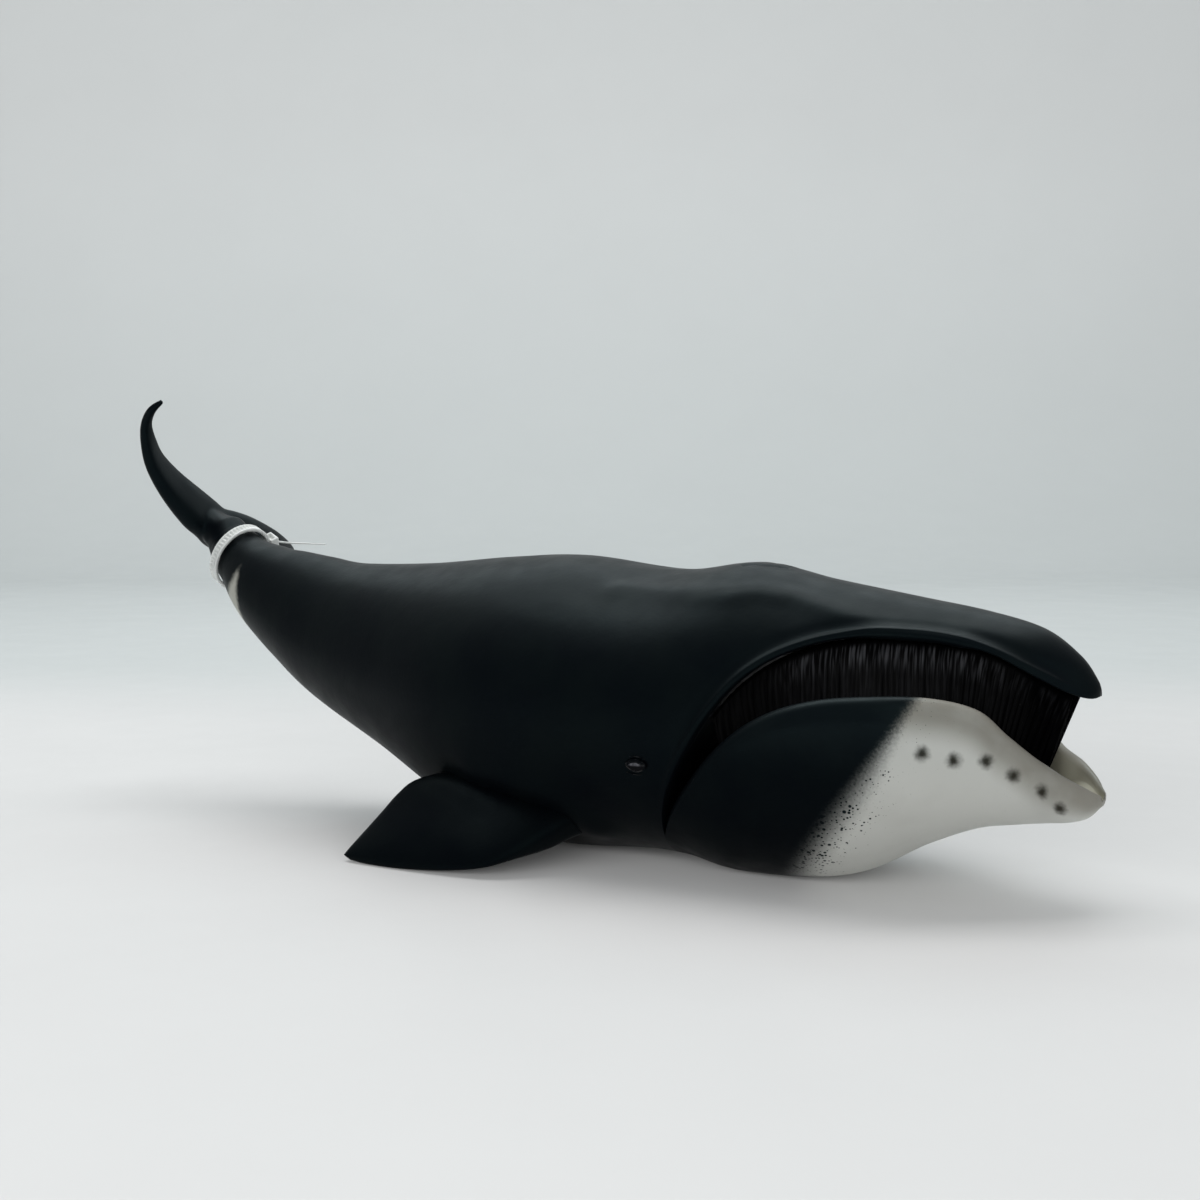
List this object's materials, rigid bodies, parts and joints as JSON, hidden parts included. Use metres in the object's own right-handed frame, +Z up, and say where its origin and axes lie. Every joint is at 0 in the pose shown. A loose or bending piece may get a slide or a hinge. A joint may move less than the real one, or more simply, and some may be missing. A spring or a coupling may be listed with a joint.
{
  "type": "whale figurine",
  "caption": "Moulded plastic bowhead whale figurine with an open mouth, ribbed baleen, swept flippers, raised flukes and a loose cable tie round its tail.",
  "frame": {"origin": "middle of the footprint, on the ground that the jaw, belly and flippers rest on", "axes": "+X along the body towards the head, +Y to the whale's left, +Z up"},
  "size_m": [0.237, 0.0846, 0.0996],
  "materials": {
    "skin": "satin black-grey paint on moulded plastic",
    "chin": "airbrushed white with dark spots, satin",
    "mouth": "matt brown-grey",
    "baleen": "ribbed matt black",
    "eye": "gloss black",
    "nylon": "natural translucent nylon"
  },
  "bodies": {
    "whale": {"body_shell_right": "skin", "body_shell_left": "skin", "lower_jaw": "chin", "tongue": "mouth", "baleen_right": "baleen", "baleen_left": "baleen", "flipper_right": "skin", "flipper_left": "skin", "tail_flukes": "skin", "eye_right": "eye", "eye_left": "eye"},
    "tie": {"cable_tie": "nylon"}
  },
  "joints": [
    {"name": "tie_turn", "type": "hinge", "parent": "whale", "child": "tie", "pos_m": [-0.09645, 0.00313, 0.0578], "axis": [0.8393, -0.2044, -0.5037], "continuous": true}
  ]
}
